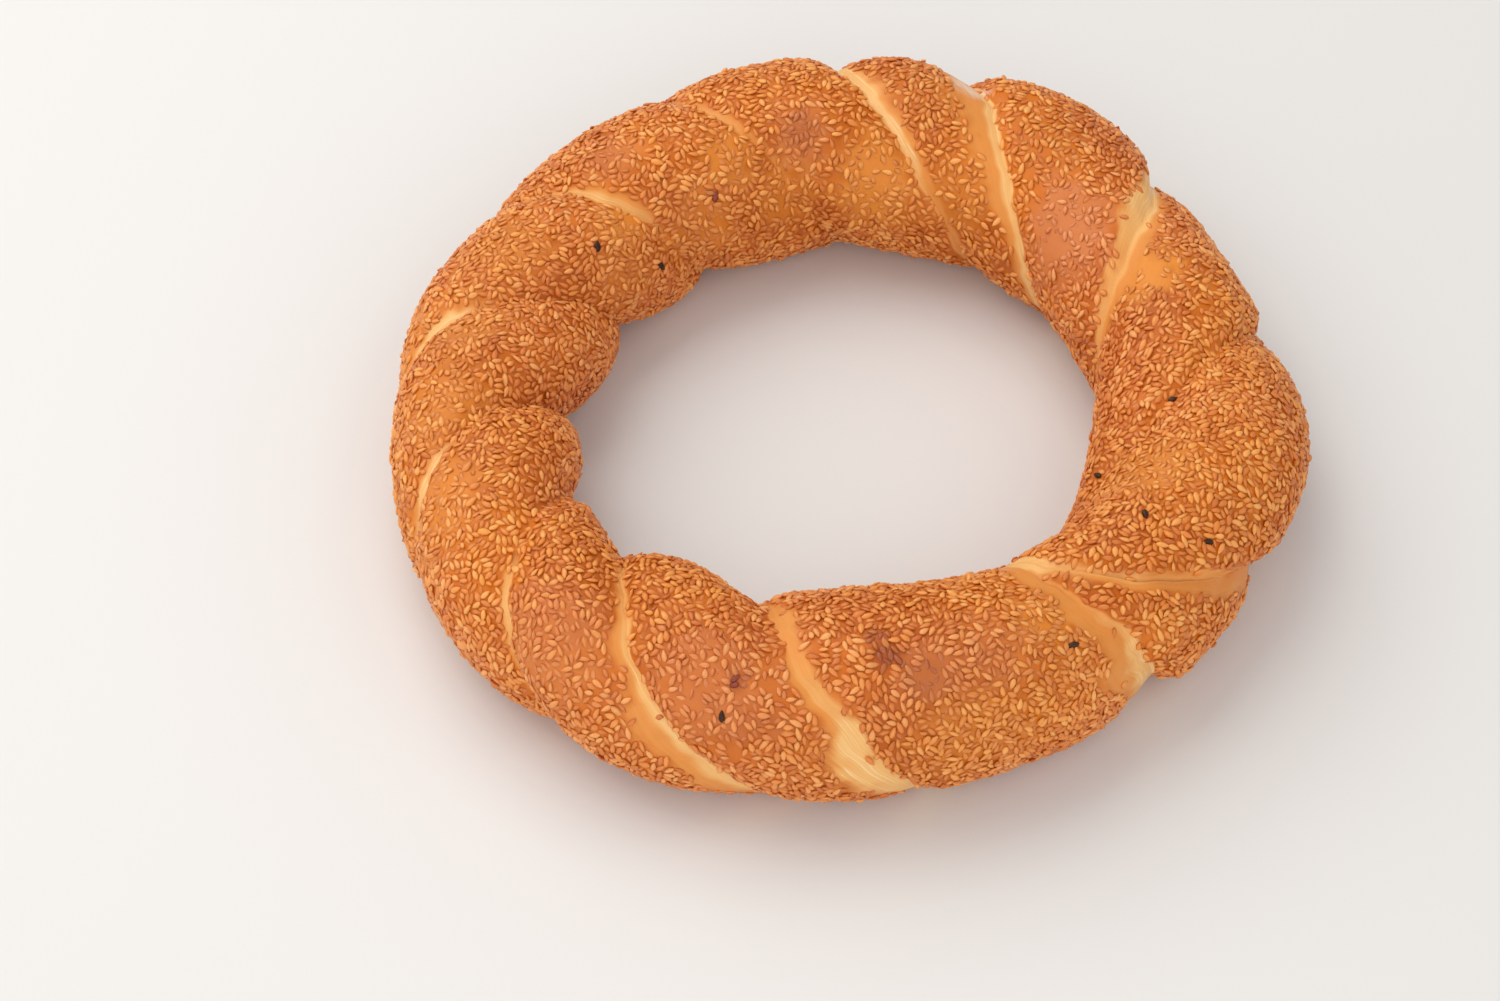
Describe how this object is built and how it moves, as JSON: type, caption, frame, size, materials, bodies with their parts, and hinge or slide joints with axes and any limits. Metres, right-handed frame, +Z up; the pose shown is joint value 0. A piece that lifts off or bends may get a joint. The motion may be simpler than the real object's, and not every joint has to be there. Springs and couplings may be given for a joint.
{
  "type": "simit",
  "caption": "Baked ring bread twisted from two strands of dough, with a browned crust coated in sesame seeds and pale creases, lying flat round an open centre.",
  "frame": {"origin": "middle of the underside, on the surface that the ring lies on", "axes": "+Z up through the hole, out of the side that faced up in the oven; +X to the right and +Y away from the front, where the longest lobe is"},
  "size_m": [0.1888, 0.1912, 0.0389],
  "materials": {
    "crust": "satin",
    "sesame": "satin",
    "dark_sesame": "satin"
  },
  "bodies": {
    "root": {"simit": "crust"}
  },
  "joints": []
}
